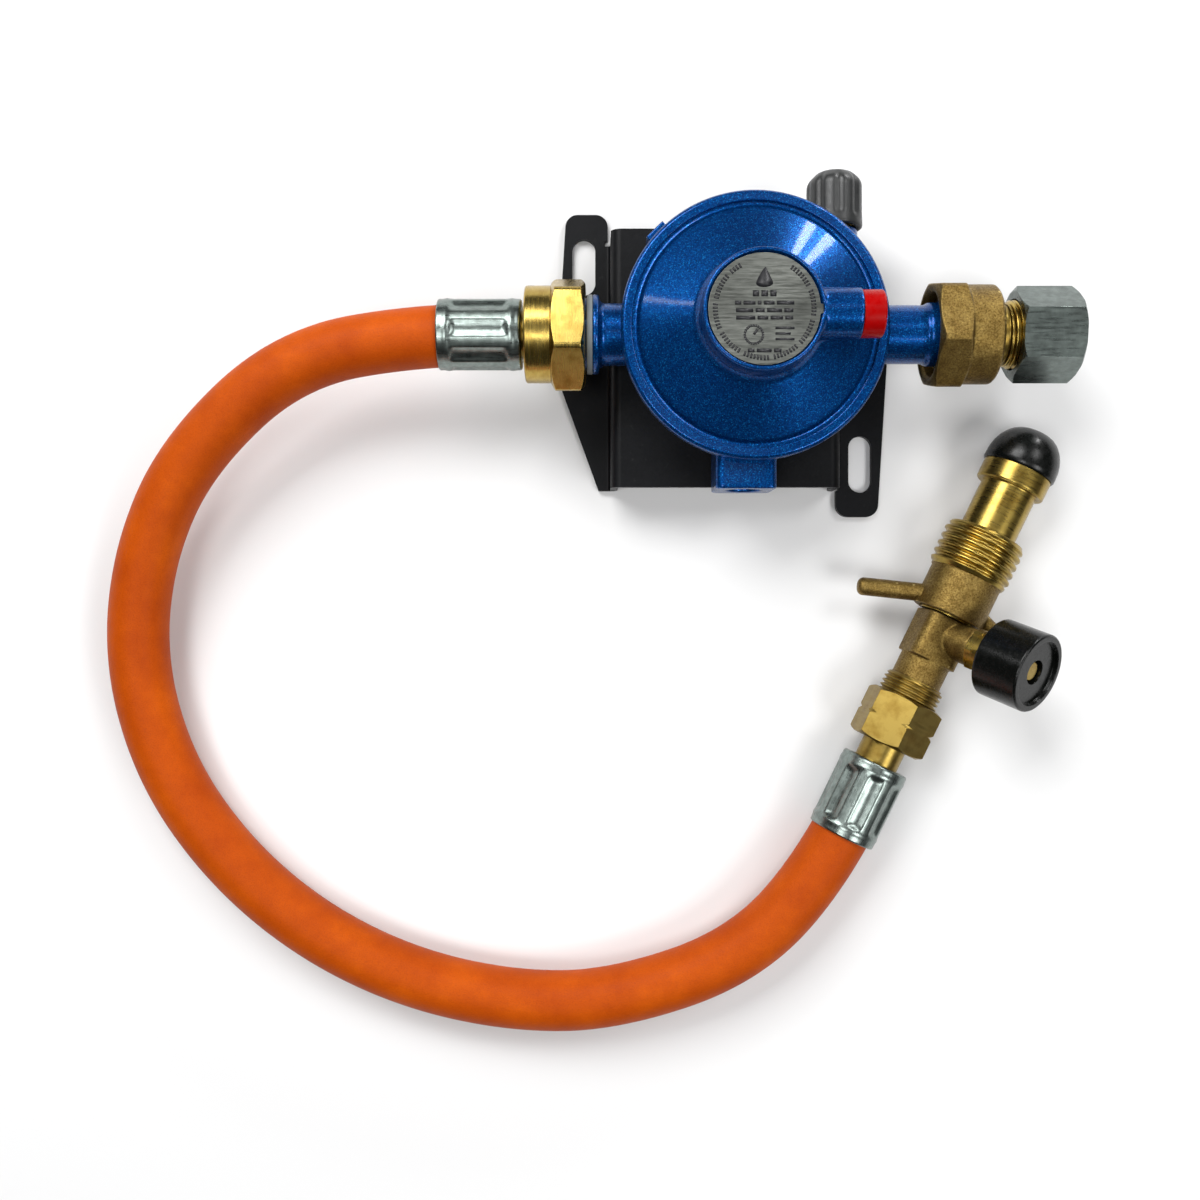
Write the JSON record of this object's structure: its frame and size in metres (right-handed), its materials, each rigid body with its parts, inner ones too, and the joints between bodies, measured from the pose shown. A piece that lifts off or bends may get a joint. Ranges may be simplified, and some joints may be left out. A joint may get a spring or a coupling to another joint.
{
  "type": "propane regulator hose",
  "caption": "Low-pressure gas regulator on a slotted wall bracket, with a crimped hose to a winged cylinder connector that has a reset knob, and an outlet union for pipe.",
  "frame": {"origin": "middle of the regulator's and bracket's outline, on the wall plane", "axes": "+X along the gas line towards the outlet pipe, +Y towards the test point, +Z away from the wall"},
  "size_m": [0.2665, 0.2389, 0.057],
  "materials": {
    "body_blue": "metallic blue paint",
    "ring_blue": "metallic blue paint on rolled steel",
    "cast_brass": "sand-cast surface",
    "turned_brass": "turned, bright",
    "steel_plated": "bluish zinc plating",
    "spring_steel": "drawn wire",
    "stem_steel": "turned",
    "bracket_black": "satin black powder coat",
    "label_aluminium": "brushed",
    "plug_red": "moulded",
    "cap_black": "moulded, fluted",
    "knob_black": "moulded",
    "lever_plastic": "moulded acetal",
    "seal_grey": "light grey sealing ring",
    "seal_black": "glossy nitrile",
    "diaphragm_rubber": "fabric reinforced",
    "hose_orange": "fine fabric-marked cover",
    "filter_bronze": "sintered"
  },
  "bodies": {
    "regulator": {"regulator_body": "body_blue", "regulator_cover": "body_blue", "crimp_ring": "ring_blue", "diaphragm": "diaphragm_rubber", "main_spring": "spring_steel", "adjuster_screw": "lever_plastic", "lever_pin": "stem_steel", "inlet_jet": "turned_brass", "label_disc": "label_aluminium", "vent_plug": "plug_red", "mounting_bracket": "bracket_black", "bracket_screws": "steel_plated", "test_nipple": "turned_brass", "drain_plug": "steel_plated", "inlet_filter": "filter_bronze", "inlet_seal": "seal_grey", "inlet_tail": "turned_brass", "ferrule_inlet": "steel_plated", "hose": "hose_orange", "ferrule_connector": "steel_plated", "connector_tail": "turned_brass", "valve_body": "cast_brass", "pol_spigot": "turned_brass", "pol_nose_seal": "seal_black", "reset_bonnet": "turned_brass", "reset_spring": "spring_steel", "flow_spring": "spring_steel", "outlet_tail": "turned_brass", "outlet_gasket": "seal_black", "cutting_ring": "steel_plated"},
    "diaphragm_stack": {"diaphragm_plate": "steel_plated", "diaphragm_stem": "stem_steel", "relief_spring": "spring_steel", "relief_nut": "steel_plated"},
    "lever_arm": {"lever": "lever_plastic"},
    "plunger": {"valve_plunger": "turned_brass", "seat_pad": "seal_black"},
    "hose_nut": {"inlet_nut": "turned_brass"},
    "union_nut": {"outlet_union_nut": "cast_brass"},
    "pipe_nut": {"compression_nut": "steel_plated"},
    "left_hand_nut": {"connector_nut": "turned_brass"},
    "cylinder_nut": {"pol_nut": "cast_brass"},
    "reset_button": {"reset_stem": "stem_steel", "reset_knob": "knob_black", "reset_screw": "turned_brass"},
    "excess_flow_valve": {"flow_poppet": "turned_brass"},
    "point_cap": {"test_cap": "cap_black"}
  },
  "joints": [
    {"name": "diaphragm_travel", "type": "slide", "parent": "regulator", "child": "diaphragm_stack", "axis": [0, 0, 1], "range_m": [0, 0.002], "stiffness_N_per_m": 1000, "springref_m": -0.003, "deforming": ["diaphragm", "main_spring"]},
    {"name": "lever_swing", "type": "hinge", "parent": "regulator", "child": "lever_arm", "pos_m": [-0.01015, 0.00195, 0.0205], "axis": [0, 1, 0], "range_deg": [-14, 0]},
    {"name": "plunger_travel", "type": "slide", "parent": "regulator", "child": "plunger", "axis": [1, 0, 0], "range_m": [-0.0014, 0]},
    {"name": "hose_nut_spin", "type": "hinge", "parent": "regulator", "child": "hose_nut", "pos_m": [-0.05165, 0.00195, 0.026], "axis": [1, 0, 0], "continuous": true},
    {"name": "union_nut_spin", "type": "hinge", "parent": "regulator", "child": "union_nut", "pos_m": [0.05335, 0.00195, 0.026], "axis": [1, 0, 0], "continuous": true},
    {"name": "pipe_nut_spin", "type": "hinge", "parent": "regulator", "child": "pipe_nut", "pos_m": [0.07635, 0.00195, 0.026], "axis": [1, 0, 0], "continuous": true},
    {"name": "left_hand_nut_spin", "type": "hinge", "parent": "regulator", "child": "left_hand_nut", "pos_m": [0.04037, -0.10204, 0.0115], "axis": [0.4384, 0.8988, 0], "continuous": true},
    {"name": "cylinder_nut_turn", "type": "hinge", "parent": "regulator", "child": "cylinder_nut", "pos_m": [0.06032, -0.06115, 0.0115], "axis": [0.4384, 0.8988, 0], "range_deg": [-5, 90]},
    {"name": "reset_push", "type": "slide", "parent": "regulator", "child": "reset_button", "axis": [-0.6355, 0.31, -0.7071], "range_m": [0, 0.0035], "stiffness_N_per_m": 700, "springref_m": -0.003, "deforming": ["reset_spring"]},
    {"name": "flow_shut", "type": "slide", "parent": "regulator", "child": "excess_flow_valve", "axis": [-0.4384, -0.8988, 0], "range_m": [0, 0.0028], "stiffness_N_per_m": 300, "springref_m": -0.003, "deforming": ["flow_spring"]},
    {"name": "point_cap_turn", "type": "hinge", "parent": "regulator", "child": "point_cap", "pos_m": [0.02075, 0.03695, 0.026], "axis": [0, 1, 0], "continuous": true}
  ],
  "couplings": [
    {"joint": "lever_swing", "follows": "diaphragm_travel", "rad_per_m": -117.65},
    {"joint": "plunger_travel", "follows": "diaphragm_travel", "ratio": -0.647}
  ]
}
